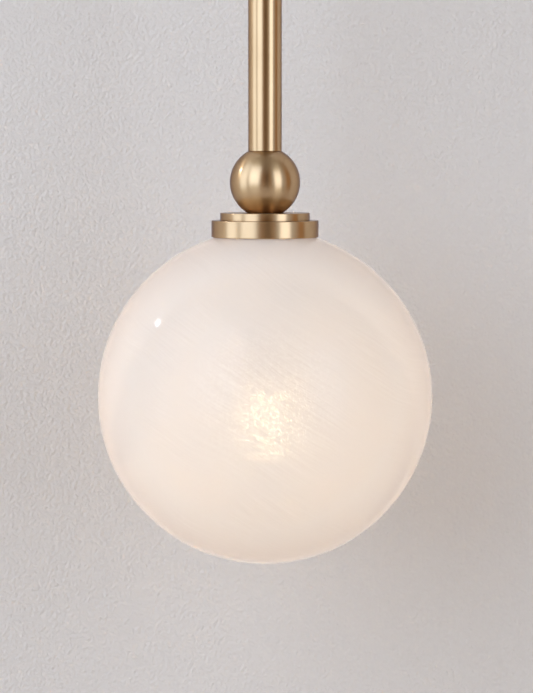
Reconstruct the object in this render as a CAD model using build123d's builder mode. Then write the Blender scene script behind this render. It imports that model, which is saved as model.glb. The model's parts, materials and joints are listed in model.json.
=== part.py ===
from build123d import *
from math import cos, pi, radians, sqrt, tan
import os

# Hanging wall light: a stepped wall canopy carries a straight arm, a ball elbow and a
# hanging stem. A second ball, a stepped cap and a glass globe hang at the stem's foot.
#
# Frame: millimetres, +Z up. The origin is the centre of the wall strap's back face, on the
# wall. The wall is the plane y = 0 and the light stands out from it towards -Y.

# ---------------------------------------------------------------- driving dimensions
# Reach and drop
arm_reach = 150.0  # wall to the stem's axis
stem_length = 250.0  # bare tube between the two balls

# Tubes, balls and the hollow all-thread inside them
tube_dia = 20.0
tube_wall = 1.5
ball_dia = 42.0
ball_foot_dia = 21.0  # flat that the lower ball stands on
elbow_cavity_dia = 24.0  # hollow where the wires turn down
nipple_dia = 10.0
nipple_bore = 7.0
nipple_grip = 10.0  # thread inside a bushing
nipple_tail = 1.5  # thread that shows past a locknut
bushing_length = 12.0
elbow_thread_depth = 7.0

# Nuts and washers on the all-thread
locknut_flats = 14.0
locknut_height = 4.0
washer_dia = 18.0
washer_thick = 1.0

# Stepped cap over the globe
cap_disc_dia = 53.5
cap_disc_height = 4.5
collar_dia = 64.0
collar_height = 10.0
collar_roof = 2.0
collar_lip = 1.5  # thin rim that stands on the globe

# Glass globe and the threaded ring cemented in its opening
globe_dia = 200.0
globe_wall = 3.0
neck_dia = 54.0
neck_wall = 3.0
seal_margin = 1.0  # the seal is this much narrower than the ring
seal_height = 1.2

# Wall canopy
canopy_dia = 120.0
canopy_depth = 22.0
canopy_wall = 1.5
canopy_step = 17.0  # flat ring between the canopy's edge and its step disc
canopy_disc_depth = 6.0

# Wall strap behind the canopy
strap_end_gap = 2.5  # from the strap's ends to the canopy's wall
strap_width = 20.0
strap_corner = 4.0
strap_thick = 2.0
stud_inset = 4.5  # from a stud's axis to the strap's end
slot_inset = 11.5  # from a slot's middle to the nearer stud
box_slot_length = 14.0
box_slot_width = 5.0
stud_dia = 4.0
stud_grip = 5.0  # stud length inside a ball nut
ball_nut_dia = 11.0
ball_nut_foot_dia = 8.0

# Earth screw and its lug
earth_screw_inset = 13.0  # from the screw's axis to the nearer slot's middle
earth_screw_dia = 3.5
earth_head_dia = 6.0
earth_head_height = 2.4
screw_slot_width = 0.9
screw_slot_depth = 0.7
lug_dia = 7.0
lug_thick = 0.8
lug_barrel_dia = 3.4
lug_barrel_length = 5.0

# Lampholder, from its threaded cap down to its lip
holder_dia = 38.0
holder_cap_height = 18.0
holder_cap_wall = 2.5
holder_cap_thread = 8.0
holder_barrel_height = 38.0
holder_floor_thick = 4.0
holder_chamber_dia = 31.0
shell_dia = 29.0
shell_wall = 0.6
shell_height = 23.0
contact_width = 8.0
contact_depth = 4.0
contact_drop = 1.6
contact_thick = 0.6
terminal_spread = 19.0
terminal_length = 6.0
terminal_width = 5.0
terminal_height = 4.5

# Lamp
lamp_glass_dia = 45.0
lamp_glass_length = 84.0  # below the rim of its cap
lamp_glass_wall = 0.8
lamp_glass_neck = 12.0  # straight neck below the rim
lamp_glass_seat = 6.0  # neck inside the cap
lamp_rim_gap = 1.0  # bare cap between the holder's lip and the lamp's rim
lamp_cap_dia = 26.2
lamp_cap_wall = 0.5
lamp_cap_height = 18.5
lamp_thread_pitch = 3.63
lamp_thread_turns = 4
lamp_thread_depth = 0.7
lamp_insulator_height = 4.5
lamp_contact_dia = 9.5
lamp_contact_height = 1.6
filament_count = 4
filament_dia = 1.8
filament_length = 34.0
filament_circle_dia = 13.0
filament_centre_drop = 58.0  # below the lamp's rim
hub_dia = 16.5
hub_thick = 1.8
support_dia = 5.0
support_plug_height = 5.0

# Terminal block in the canopy
block_width = 24.0
block_height = 16.0
block_depth = 11.0
block_corner = 0.8
block_top_gap = 12.5  # to the canopy's wall
block_port_pitch = 6.5
block_screw_dia = 3.4
block_screw_height = 0.8
block_screw_pitch = 8.0

# Wires
wire_dia = 2.2
wire_pair_pitch = 2.6
wire_bend = 9.0  # largest bend radius
wire_seat = 2.5  # wire inside a terminal
wire_lead = 4.0  # straight lead at a terminal

# Clearances
fit_gap = 0.05  # parts that are brazed, screwed or pressed together
clear_gap = 0.3  # parts that pass by hand
neck_gap = 0.5  # neck ring inside the collar
edge_break = 0.4
soft_edge = 0.8

# ------------------------------------------------------------------- derived sizes
tube_bore = tube_dia - 2 * tube_wall
ball_radius = ball_dia / 2
tube_seat = sqrt(ball_radius**2 - (tube_dia / 2) ** 2)  # ball centre to a tube's end
foot_seat = sqrt(ball_radius**2 - (ball_foot_dia / 2) ** 2)
tapped_dia = nipple_dia + 2 * fit_gap
passing_dia = nipple_dia + 2 * clear_gap

# levels down the stem
stem_top = -tube_seat
stem_bottom = stem_top - stem_length
lower_ball_level = stem_bottom - tube_seat
collar_top = lower_ball_level - foot_seat - cap_disc_height
collar_bottom = collar_top - collar_height
collar_ceiling = collar_top - collar_roof
collar_bore = neck_dia + 2 * neck_gap
neck_bore = neck_dia - 2 * neck_wall
neck_top = collar_ceiling - seal_height
globe_radius = globe_dia / 2
globe_inner_radius = globe_radius - globe_wall
lip_bore = collar_dia - 2 * collar_lip
height_under_lip = sqrt(globe_radius**2 - (lip_bore / 2) ** 2)
globe_level = collar_bottom - clear_gap - height_under_lip
lip_depth = sqrt(globe_radius**2 - (collar_bore / 2) ** 2) - height_under_lip

locknut_bottom = collar_ceiling - washer_thick - locknut_height
nipple_foot = locknut_bottom - holder_cap_thread
barrel_top = locknut_bottom - holder_cap_height
holder_lip = barrel_top - holder_barrel_height
lamp_rim = holder_lip - lamp_rim_gap
lamp_cap_top = lamp_rim + lamp_cap_height
insulator_top = lamp_cap_top + lamp_insulator_height
lamp_tip = insulator_top + lamp_contact_height
holder_floor_bottom = lamp_tip + clear_gap + contact_drop
holder_floor_top = holder_floor_bottom + holder_floor_thick
terminal_top = holder_floor_top + terminal_height

# distances out from the wall
canopy_inner = canopy_depth - canopy_wall
arm_root = canopy_depth + canopy_disc_depth
arm_tip = arm_reach - tube_seat
canopy_nut_back = canopy_inner - washer_thick - locknut_height
nipple_back = canopy_nut_back - nipple_tail
block_back = canopy_inner - block_depth
block_port_out = canopy_inner - block_depth / 2

# across the canopy
canopy_disc_dia = canopy_dia - 2 * canopy_step
strap_length = canopy_dia - 2 * canopy_wall - 2 * strap_end_gap
stud_spacing = strap_length - 2 * stud_inset
box_slot_spacing = stud_spacing - 2 * slot_inset
earth_screw_offset = box_slot_spacing / 2 - earth_screw_inset
block_lift = canopy_dia / 2 - canopy_wall - block_top_gap - block_height
wire_climb = block_lift / 2  # straight rise behind the strap's centre

# The wall plane faces the room, with x to the right and y up. The stem plane lies across
# the stem's axis and the stem section cuts upright along it. The elbow's two seats face
# away from its ball: one to the wall, one down.
wall_plane = Plane(origin=(0, 0, 0), x_dir=(1, 0, 0), z_dir=(0, -1, 0))
stem_plane = Plane(origin=(0, -arm_reach, 0))
stem_section = wall_plane.offset(arm_reach)
stem_axis = Axis((0, -arm_reach, 0), (0, 0, 1))
elbow_arm_seat = Plane(origin=(0, -arm_tip, 0), x_dir=(1, 0, 0), z_dir=(0, 1, 0))
elbow_stem_seat = Plane(origin=(0, -arm_reach, stem_top), x_dir=(1, 0, 0), z_dir=(0, 0, -1))

os.makedirs("parts", exist_ok=True)


# ------------------------------------------------------------------- repeated pieces
def write(piece, name):
    """Labels a finished piece and writes it as its own file."""
    piece.part.label = name
    export_step(piece.part, f"parts/{name}.step")


def tube(name, plane, length, outer_dia, bore):
    """A plain tube that starts on the plane and runs along its normal."""
    with BuildPart() as piece:
        with BuildSketch(plane):
            Circle(outer_dia / 2)
            Circle(bore / 2, mode=Mode.SUBTRACT)
        extrude(amount=length)
    write(piece, name)


def tapped_bushing(name, plane):
    """A tapped plug that is brazed inside a tube's end."""
    tube(name, plane, bushing_length, tube_bore - 2 * fit_gap, tapped_dia)


def nipple(name, plane, length):
    """Hollow all-thread."""
    tube(name, plane, length, nipple_dia, nipple_bore)


def washer(name, plane):
    """A flat washer for the all-thread."""
    tube(name, plane, washer_thick, washer_dia, passing_dia)


def locknut(name, plane):
    """A thin hexagon nut for the all-thread."""
    with BuildPart() as piece:
        with BuildSketch(plane):
            RegularPolygon(locknut_flats / 2, 6, major_radius=False)
            Circle(tapped_dia / 2, mode=Mode.SUBTRACT)
        extrude(amount=locknut_height)
    write(piece, name)


def step_disc(name, plane, disc_dia, height):
    """A turned disc with a broken outer edge, drilled for the all-thread."""
    with BuildPart() as piece:
        with BuildSketch(plane):
            Circle(disc_dia / 2)
        extrude(amount=height)
        far_face = piece.faces().sort_by(Axis(plane.origin, plane.z_dir))[-1]
        fillet(far_face.edges(), edge_break)
        with BuildSketch(plane):
            Circle(passing_dia / 2)
        extrude(amount=height, mode=Mode.SUBTRACT)
    write(piece, name)


# ------------------------------------------------------------------- wall strap
# A flat steel bar against the wall: two long slots take the outlet box's screws, two studs
# near its ends carry the canopy, and a tapped hole takes the earth screw.
with BuildPart() as wall_strap:
    with BuildSketch(wall_plane):
        RectangleRounded(strap_length, strap_width, strap_corner)
        with GridLocations(box_slot_spacing, 0, 2, 1):
            SlotOverall(box_slot_length, box_slot_width, mode=Mode.SUBTRACT)
        with GridLocations(stud_spacing, 0, 2, 1):
            Circle(stud_dia / 2 + fit_gap, mode=Mode.SUBTRACT)
        with Locations((-earth_screw_offset, 0)):
            Circle(earth_screw_dia / 2 + fit_gap, mode=Mode.SUBTRACT)
    extrude(amount=strap_thick)
write(wall_strap, "wall_strap")

with BuildPart() as canopy_studs:
    with BuildSketch(wall_plane):
        with GridLocations(stud_spacing, 0, 2, 1):
            Circle(stud_dia / 2)
    extrude(amount=canopy_depth + stud_grip)
    chamfer(canopy_studs.faces().sort_by(Axis.Y)[:2].edges(), edge_break)
write(canopy_studs, "canopy_studs")

# Ring lug with a crimped barrel, held under a slotted screw.
lug_barrel_start = earth_head_dia / 2 + fit_gap - earth_screw_offset
lug_barrel_y = -strap_thick - lug_barrel_dia / 2
lug_barrel_plane = Plane(origin=(lug_barrel_start, lug_barrel_y, 0), z_dir=(1, 0, 0))
with BuildPart() as earth_lug:
    with BuildSketch(wall_plane.offset(strap_thick)):
        with Locations((-earth_screw_offset, 0)):
            Circle(lug_dia / 2)
            Circle(earth_screw_dia / 2 + fit_gap, mode=Mode.SUBTRACT)
    extrude(amount=lug_thick)
    with BuildSketch(lug_barrel_plane):
        Circle(lug_barrel_dia / 2)
    extrude(amount=lug_barrel_length)
    with BuildSketch(lug_barrel_plane.offset(lug_barrel_length)):
        Circle(wire_dia / 2 + fit_gap)
    extrude(amount=-wire_seat, mode=Mode.SUBTRACT)
write(earth_lug, "earth_lug")

lug_face = strap_thick + lug_thick
with BuildPart() as earth_screw:
    with BuildSketch(wall_plane):
        with Locations((-earth_screw_offset, 0)):
            Circle(earth_screw_dia / 2)
    extrude(amount=lug_face)
    with BuildSketch(wall_plane.offset(lug_face)):
        with Locations((-earth_screw_offset, 0)):
            Circle(earth_head_dia / 2)
    extrude(amount=earth_head_height)
    with BuildSketch(wall_plane.offset(lug_face + earth_head_height)):
        with Locations((-earth_screw_offset, 0)):
            Rectangle(screw_slot_width, earth_head_dia)
    extrude(amount=-screw_slot_depth, mode=Mode.SUBTRACT)
write(earth_screw, "earth_screw")

# ------------------------------------------------------------------- canopy
# A spun brass cup, open to the wall, drilled for the arm's nipple and for the two studs.
with BuildPart() as wall_canopy:
    with BuildSketch(wall_plane):
        Circle(canopy_dia / 2)
    extrude(amount=canopy_depth)
    fillet(wall_canopy.faces().sort_by(Axis.Y)[0].edges(), min(soft_edge, 0.9 * canopy_wall))
    with BuildSketch(wall_plane):
        Circle(canopy_dia / 2 - canopy_wall)
    extrude(amount=canopy_inner, mode=Mode.SUBTRACT)
    with BuildSketch(wall_plane):
        Circle(passing_dia / 2)
        with GridLocations(stud_spacing, 0, 2, 1):
            Circle(stud_dia / 2 + clear_gap)
    extrude(amount=canopy_depth, mode=Mode.SUBTRACT)
write(wall_canopy, "wall_canopy")

step_disc("canopy_step_disc", wall_plane.offset(canopy_depth), canopy_disc_dia,
          canopy_disc_depth)

# Two ball-shaped cap nuts, each flat where it bears on the canopy and tapped for its stud.
ball_nut_seat = sqrt((ball_nut_dia / 2) ** 2 - (ball_nut_foot_dia / 2) ** 2)
with BuildPart() as canopy_ball_nuts:
    with Locations(wall_plane.offset(canopy_depth + ball_nut_seat)):
        with GridLocations(stud_spacing, 0, 2, 1):
            Sphere(ball_nut_dia / 2)
    with BuildSketch(wall_plane.offset(canopy_depth)):
        Circle(canopy_dia / 2)
    extrude(amount=-ball_nut_dia, mode=Mode.SUBTRACT)
    with BuildSketch(wall_plane.offset(canopy_depth)):
        with GridLocations(stud_spacing, 0, 2, 1):
            Circle(stud_dia / 2 + fit_gap)
    extrude(amount=stud_grip + clear_gap, mode=Mode.SUBTRACT)
write(canopy_ball_nuts, "canopy_ball_nuts")

# ------------------------------------------------------------------- arm and its fixing
washer("canopy_washer", wall_plane.offset(canopy_inner - washer_thick))
locknut("canopy_locknut", wall_plane.offset(canopy_nut_back))
nipple("canopy_nipple", wall_plane.offset(nipple_back), arm_root + nipple_grip - nipple_back)

tube("arm_tube", wall_plane.offset(arm_root), arm_tip - arm_root, tube_dia, tube_bore)
tapped_bushing("arm_rear_bushing", wall_plane.offset(arm_root))
tapped_bushing("arm_front_bushing", elbow_arm_seat)

# ------------------------------------------------------------------- elbow
# A ball with a flat and a tapped hole for each tube, hollow where the wires turn down.
with BuildPart() as elbow_ball:
    with Locations((0, -arm_reach, 0)):
        Sphere(ball_radius)
    for seat in (elbow_arm_seat, elbow_stem_seat):
        with BuildSketch(seat):
            Circle(ball_dia)
        extrude(amount=ball_dia, mode=Mode.SUBTRACT)
        with BuildSketch(seat):
            Circle(tapped_dia / 2)
        extrude(amount=-tube_seat, mode=Mode.SUBTRACT)
    with Locations((0, -arm_reach, 0)):
        Sphere(elbow_cavity_dia / 2, mode=Mode.SUBTRACT)
write(elbow_ball, "elbow_ball")

for side, seat in (("arm", elbow_arm_seat), ("stem", elbow_stem_seat)):
    nipple(f"elbow_{side}_nipple", seat.offset(-elbow_thread_depth),
           elbow_thread_depth + nipple_grip)

# ------------------------------------------------------------------- stem and lower ball
tapped_bushing("stem_top_bushing", elbow_stem_seat)
tapped_bushing("stem_bottom_bushing", stem_plane.offset(stem_bottom))
tube("stem_tube", stem_plane.offset(stem_bottom), stem_length, tube_dia, tube_bore)

# The lower ball is flat under the stem and at its foot, and drilled through.
with BuildPart() as lower_ball:
    with BuildSketch(stem_section):
        with BuildLine():
            top_flat = Line((passing_dia / 2, stem_bottom), (tube_dia / 2, stem_bottom))
            side_arc = ThreePointArc(top_flat @ 1, (ball_radius, lower_ball_level),
                                     (ball_foot_dia / 2, lower_ball_level - foot_seat))
            foot_flat = Line(side_arc @ 1, (passing_dia / 2, lower_ball_level - foot_seat))
            Line(foot_flat @ 1, top_flat @ 0)
        make_face()
    revolve(axis=stem_axis)
write(lower_ball, "lower_ball")

# One long nipple ties the stem, the ball, the cap and the lampholder together.
nipple("lamp_nipple", stem_plane.offset(nipple_foot), stem_bottom + nipple_grip - nipple_foot)

# ------------------------------------------------------------------- stepped cap
step_disc("cap_step_disc", stem_plane.offset(collar_top), cap_disc_dia, cap_disc_height)

# The collar is a shallow turned cup: its roof hangs on the nipple and the globe's neck ring
# screws up inside its wall.
with BuildPart() as globe_collar:
    with BuildSketch(stem_plane.offset(collar_bottom)):
        Circle(collar_dia / 2)
    extrude(amount=collar_height)
    fillet(globe_collar.edges().filter_by(GeomType.CIRCLE), edge_break)
    with BuildSketch(stem_plane.offset(collar_bottom)):
        Circle(collar_bore / 2)
    extrude(amount=collar_height - collar_roof, mode=Mode.SUBTRACT)
    with BuildSketch(stem_plane.offset(collar_bottom)):
        Circle(lip_bore / 2)
    extrude(amount=lip_depth, mode=Mode.SUBTRACT)
    with BuildSketch(stem_plane.offset(collar_bottom)):
        Circle(passing_dia / 2)
    extrude(amount=collar_height, mode=Mode.SUBTRACT)
write(globe_collar, "globe_collar")

washer("collar_washer", stem_plane.offset(collar_ceiling - washer_thick))
locknut("collar_locknut", stem_plane.offset(locknut_bottom))

# ------------------------------------------------------------------- globe
# A silicone ring between the neck ring's top and the collar's ceiling.
tube("neck_seal", stem_plane.offset(neck_top), seal_height, neck_dia - seal_margin,
     neck_bore + seal_margin)

# Blown glass: a sphere of even wall, cut open at the top.
glass_hole_radius = neck_dia / 2 + fit_gap
hole_top = globe_level + sqrt(globe_radius**2 - glass_hole_radius**2)
hole_bottom = globe_level + sqrt(globe_inner_radius**2 - glass_hole_radius**2)
with BuildPart() as glass_globe:
    with BuildSketch(stem_section):
        with BuildLine():
            outer = ThreePointArc((0, globe_level - globe_radius), (globe_radius, globe_level),
                                  (glass_hole_radius, hole_top))
            hole_side = Line(outer @ 1, (glass_hole_radius, hole_bottom))
            inner = ThreePointArc(hole_side @ 1, (globe_inner_radius, globe_level),
                                  (0, globe_level - globe_inner_radius))
            Line(inner @ 1, outer @ 0)
        make_face()
    revolve(axis=stem_axis)
write(glass_globe, "glass_globe")

# A brass ring cemented in the glass's opening. Its thread screws up inside the collar.
with BuildPart() as globe_neck_ring:
    with BuildSketch(stem_plane.offset(hole_bottom)):
        Circle(neck_dia / 2)
        Circle(neck_bore / 2, mode=Mode.SUBTRACT)
    extrude(amount=neck_top - hole_bottom)
    chamfer(globe_neck_ring.edges().filter_by(GeomType.CIRCLE), edge_break)
write(globe_neck_ring, "globe_neck_ring")

# ------------------------------------------------------------------- lampholder
# Threaded cap of the holder, a hollow cup on the nipple's foot.
with BuildPart() as holder_cap:
    with BuildSketch(stem_plane.offset(barrel_top)):
        Circle(holder_dia / 2)
    extrude(amount=holder_cap_height)
    fillet(holder_cap.faces().sort_by(Axis.Z)[-1].edges(), holder_cap_wall)
    with BuildSketch(stem_plane.offset(barrel_top)):
        Circle(holder_dia / 2 - holder_cap_wall)
    extrude(amount=holder_cap_height - holder_cap_thread, mode=Mode.SUBTRACT)
    with BuildSketch(stem_plane.offset(barrel_top)):
        Circle(tapped_dia / 2)
    extrude(amount=holder_cap_height, mode=Mode.SUBTRACT)
write(holder_cap, "holder_cap")

# Moulded barrel: a well for the screw shell, a floor, and a terminal chamber above it.
with BuildPart() as holder_barrel:
    with BuildSketch(stem_plane.offset(holder_lip)):
        Circle(holder_dia / 2)
    extrude(amount=holder_barrel_height)
    fillet(holder_barrel.faces().sort_by(Axis.Z)[0].edges(), soft_edge)
    with BuildSketch(stem_plane.offset(holder_lip)):
        Circle(shell_dia / 2 + fit_gap)
    extrude(amount=holder_floor_bottom - holder_lip, mode=Mode.SUBTRACT)
    with BuildSketch(stem_plane.offset(holder_floor_top)):
        Circle(holder_chamber_dia / 2)
    extrude(amount=barrel_top - holder_floor_top, mode=Mode.SUBTRACT)
write(holder_barrel, "holder_barrel")

tube("holder_screw_shell", stem_plane.offset(holder_floor_bottom - shell_height),
     shell_height, shell_dia, shell_dia - 2 * shell_wall)

# Centre contact: a springy brass bridge under the floor.
bridge_foot = holder_floor_bottom - contact_drop
bridge_span = contact_width / 2
bridge_crown = bridge_span / 2
with BuildPart() as holder_centre_contact:
    with BuildSketch(stem_section):
        with BuildLine():
            Polyline((-bridge_span, holder_floor_bottom),
                     (-bridge_crown, bridge_foot),
                     (bridge_crown, bridge_foot),
                     (bridge_span, holder_floor_bottom),
                     (bridge_span - contact_thick, holder_floor_bottom),
                     (bridge_crown - contact_thick / 3, bridge_foot + contact_thick),
                     (contact_thick / 3 - bridge_crown, bridge_foot + contact_thick),
                     (contact_thick - bridge_span, holder_floor_bottom),
                     close=True)
        make_face()
    extrude(amount=contact_depth / 2, both=True)
write(holder_centre_contact, "holder_centre_contact")

# Two brass terminals on the floor, each bored for a wire's end.
with BuildPart() as holder_terminals:
    with BuildSketch(stem_plane.offset(holder_floor_top)):
        with GridLocations(terminal_spread, 0, 2, 1):
            RectangleRounded(terminal_length, terminal_width, edge_break)
    extrude(amount=terminal_height)
    with BuildSketch(stem_plane.offset(terminal_top)):
        with GridLocations(terminal_spread, 0, 2, 1):
            Circle(wire_dia / 2 + fit_gap)
    extrude(amount=-wire_seat, mode=Mode.SUBTRACT)
write(holder_terminals, "holder_terminals")

# ------------------------------------------------------------------- lamp
# Screw cap with rolled threads, open at both ends.
lamp_cap_radius = lamp_cap_dia / 2
lamp_cap_root = lamp_cap_radius - lamp_thread_depth
thread_start = lamp_rim + (lamp_cap_height - lamp_thread_turns * lamp_thread_pitch) / 2
with BuildPart() as lamp_cap:
    with BuildSketch(stem_section):
        with BuildLine():
            rim_line = Line((lamp_cap_root - lamp_cap_wall, lamp_rim), (lamp_cap_root, lamp_rim))
            ridge = Line(rim_line @ 1, (lamp_cap_root, thread_start))
            for turn in range(lamp_thread_turns):
                ridge_foot = thread_start + turn * lamp_thread_pitch
                ridge = ThreePointArc(ridge @ 1,
                                      (lamp_cap_radius, ridge_foot + lamp_thread_pitch / 2),
                                      (lamp_cap_root, ridge_foot + lamp_thread_pitch))
            Polyline(ridge @ 1, (lamp_cap_root, lamp_cap_top),
                     (lamp_cap_root - lamp_cap_wall, lamp_cap_top), rim_line @ 0)
        make_face()
    revolve(axis=stem_axis)
write(lamp_cap, "lamp_cap")

# Clear glass envelope: a slim neck cemented in the cap, swelling to a rounded foot.
lamp_foot = lamp_rim - lamp_glass_length
lamp_belly = lamp_foot + lamp_glass_dia / 2
lamp_neck_radius = lamp_cap_root - lamp_cap_wall - fit_gap
lamp_neck_top = lamp_rim + lamp_glass_seat


def lamp_profile(inset):
    """Half section of the envelope's surface, taken in by inset and closed on its axis."""
    belly_radius = lamp_glass_dia / 2 - inset
    neck_radius = lamp_neck_radius - inset
    foot_arc = ThreePointArc((0, lamp_foot + inset),
                             (belly_radius * cos(pi / 4), lamp_belly - belly_radius * cos(pi / 4)),
                             (belly_radius, lamp_belly))
    flare = Spline(foot_arc @ 1, (neck_radius, lamp_rim - lamp_glass_neck),
                   tangents=((0, 1), (0, 1)))
    neck_line = Line(flare @ 1, (neck_radius, lamp_neck_top))
    Polyline(neck_line @ 1, (0, lamp_neck_top), foot_arc @ 0)


with BuildPart() as lamp_envelope:
    with BuildSketch(stem_section):
        with BuildLine():
            lamp_profile(0)
        make_face()
    revolve(axis=stem_axis)
    with BuildSketch(stem_section):
        with BuildLine():
            lamp_profile(lamp_glass_wall)
        make_face()
    revolve(axis=stem_axis, mode=Mode.SUBTRACT)
write(lamp_envelope, "lamp_envelope")

# Black glass insulator between the cap and its end contact.
with BuildPart() as lamp_insulator:
    with BuildSketch(stem_plane.offset(lamp_cap_top)):
        Circle(lamp_cap_root)
    with BuildSketch(stem_plane.offset(insulator_top)):
        Circle(lamp_contact_dia / 2)
    loft()
write(lamp_insulator, "lamp_insulator")

with BuildPart() as lamp_contact:
    with BuildSketch(stem_plane.offset(insulator_top)):
        Circle(lamp_contact_dia / 2)
    extrude(amount=lamp_contact_height)
    fillet(lamp_contact.faces().sort_by(Axis.Z)[-1].edges(), lamp_contact_height / 2)
write(lamp_contact, "lamp_contact")

# Glass support for the filaments: a plug in the neck, a post, and a hub at each end.
filament_foot = lamp_rim - filament_centre_drop - filament_length / 2
filament_top = filament_foot + filament_length
with BuildPart() as lamp_support:
    with BuildSketch(stem_plane.offset(lamp_neck_top)):
        Circle(lamp_neck_radius - lamp_glass_wall - fit_gap)
    extrude(amount=-support_plug_height)
    with BuildSketch(stem_plane.offset(filament_foot - hub_thick)):
        Circle(support_dia / 2)
    extrude(amount=lamp_neck_top - filament_foot)
    for hub_level in (filament_foot - hub_thick, filament_top):
        with BuildSketch(stem_plane.offset(hub_level)):
            Circle(hub_dia / 2)
        extrude(amount=hub_thick)
write(lamp_support, "lamp_support")

with BuildPart() as lamp_filaments:
    with BuildSketch(stem_plane.offset(filament_foot)):
        with PolarLocations(filament_circle_dia / 2, filament_count, start_angle=45):
            Circle(filament_dia / 2)
    extrude(amount=filament_length)
write(lamp_filaments, "lamp_filaments")

# ------------------------------------------------------------------- terminal block
# Three-pole block on the inside of the canopy's face, above the arm. Its ports face down
# and its screws face the wall.
block_middle = block_lift + block_height / 2
block_port_plane = Plane(origin=(0, -block_port_out, block_lift))
with BuildPart() as terminal_block:
    with BuildSketch(wall_plane.offset(block_back)):
        with Locations((0, block_middle)):
            RectangleRounded(block_width, block_height, block_corner)
    extrude(amount=block_depth)
    with BuildSketch(block_port_plane):
        with GridLocations(block_port_pitch, 0, 3, 1):
            Circle(wire_dia / 2 + fit_gap)
    extrude(amount=wire_seat, mode=Mode.SUBTRACT)
write(terminal_block, "terminal_block")

with BuildPart() as terminal_block_screws:
    with BuildSketch(wall_plane.offset(block_back)):
        with Locations((0, block_middle)):
            with GridLocations(block_port_pitch, block_screw_pitch, 3, 2):
                Circle(block_screw_dia / 2)
    extrude(amount=-block_screw_height)
write(terminal_block_screws, "terminal_block_screws")


# ------------------------------------------------------------------- wires
def bend_radii(points):
    """Radius at each inner point: 0.45 of the shorter run over the tangent of half the turn."""
    radii = []
    for before, here, after in zip(points, points[1:], points[2:]):
        run_in = Vector(*here) - Vector(*before)
        run_out = Vector(*after) - Vector(*here)
        half_turn = radians(run_in.get_angle(run_out)) / 2
        room = 0.45 * min(run_in.length, run_out.length) / tan(half_turn)
        radii.append(min(room, wire_bend))
    return radii


def wire(name, points):
    """A round wire along straight runs joined by tangent arcs."""
    radii = bend_radii(points)
    with BuildPart() as piece:
        with BuildLine() as path:
            FilletPolyline(*points, radius=radii)
        with BuildSketch(Plane(origin=path.wires()[0] @ 0, z_dir=path.wires()[0] % 0)):
            Circle(wire_dia / 2)
        sweep(path=path.wires()[0])
    write(piece, name)
    length = path.wires()[0].length
    share = piece.part.volume / (pi * (wire_dia / 2) ** 2 * length)
    print(f"{name}: length {length:.1f}, tightest bend {min(radii):.1f}, "
          f"volume over section times length {share:.4f}")


# The two leads leave the lampholder's terminals, climb the nipple and the stem, turn in the
# elbow's hollow, follow the arm and rise behind the canopy's face to the terminal block.
wire_turn_y = wire_bend - nipple_back
for name, side, port in (("live_wire", 1, 1), ("neutral_wire", -1, 0)):
    terminal_x = side * terminal_spread / 2
    pair_x = side * wire_pair_pitch / 2
    port_x = port * block_port_pitch
    wire(name, [
        (terminal_x, -arm_reach, terminal_top - wire_seat),
        (terminal_x, -arm_reach, terminal_top + wire_lead),
        (pair_x, -arm_reach, nipple_foot - wire_dia),
        (pair_x, -arm_reach, 0),
        (pair_x, wire_turn_y, 0),
        (pair_x, wire_turn_y, wire_climb),
        (port_x, -block_port_out, block_lift - wire_lead),
        (port_x, -block_port_out, block_lift + wire_seat),
    ])

# The earth wire runs from the strap's lug to the block's third port.
wire("earth_wire", [
    (lug_barrel_start + lug_barrel_length - wire_seat, lug_barrel_y, 0),
    (-block_port_pitch, lug_barrel_y, 0),
    (-block_port_pitch, lug_barrel_y, wire_climb),
    (-block_port_pitch, -block_port_out, block_lift - wire_lead),
    (-block_port_pitch, -block_port_out, block_lift + wire_seat),
])
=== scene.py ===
import bmesh
import bpy
import json
from math import acos, cos, pi, radians, sin, sqrt, tan
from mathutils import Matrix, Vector


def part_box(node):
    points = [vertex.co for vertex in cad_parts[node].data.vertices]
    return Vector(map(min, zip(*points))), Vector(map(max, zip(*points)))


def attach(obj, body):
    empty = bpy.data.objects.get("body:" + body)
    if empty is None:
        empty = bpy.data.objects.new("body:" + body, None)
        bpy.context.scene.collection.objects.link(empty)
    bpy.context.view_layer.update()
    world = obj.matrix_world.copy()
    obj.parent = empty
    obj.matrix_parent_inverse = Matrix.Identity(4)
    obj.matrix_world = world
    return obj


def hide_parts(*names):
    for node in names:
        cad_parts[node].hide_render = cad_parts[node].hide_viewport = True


# Hanging globe wall light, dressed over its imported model: turned satin brass, a blown opal
# glass globe lit from inside, a moulded lampholder, a lamp and its wires.
# Lengths here are millimetres and become metres where a mesh or a lamp is made.

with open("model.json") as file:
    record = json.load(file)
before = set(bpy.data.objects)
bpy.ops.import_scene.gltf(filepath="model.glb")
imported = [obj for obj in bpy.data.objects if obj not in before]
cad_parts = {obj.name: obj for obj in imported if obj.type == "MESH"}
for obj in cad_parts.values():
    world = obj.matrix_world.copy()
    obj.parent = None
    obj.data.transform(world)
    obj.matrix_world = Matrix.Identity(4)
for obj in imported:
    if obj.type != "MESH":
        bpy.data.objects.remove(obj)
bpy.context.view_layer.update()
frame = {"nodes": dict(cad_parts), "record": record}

MM = 0.001
ACROSS, OUT, UP = 0, 1, 2  # the frame's three axes
FIT_GAP = 0.05  # between pieces that are pushed or cemented together


def span(node, axis):
    """Lowest and highest coordinate of a CAD node along one axis, in millimetres."""
    low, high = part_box(node)
    return low[axis] / MM, high[axis] / MM


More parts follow.
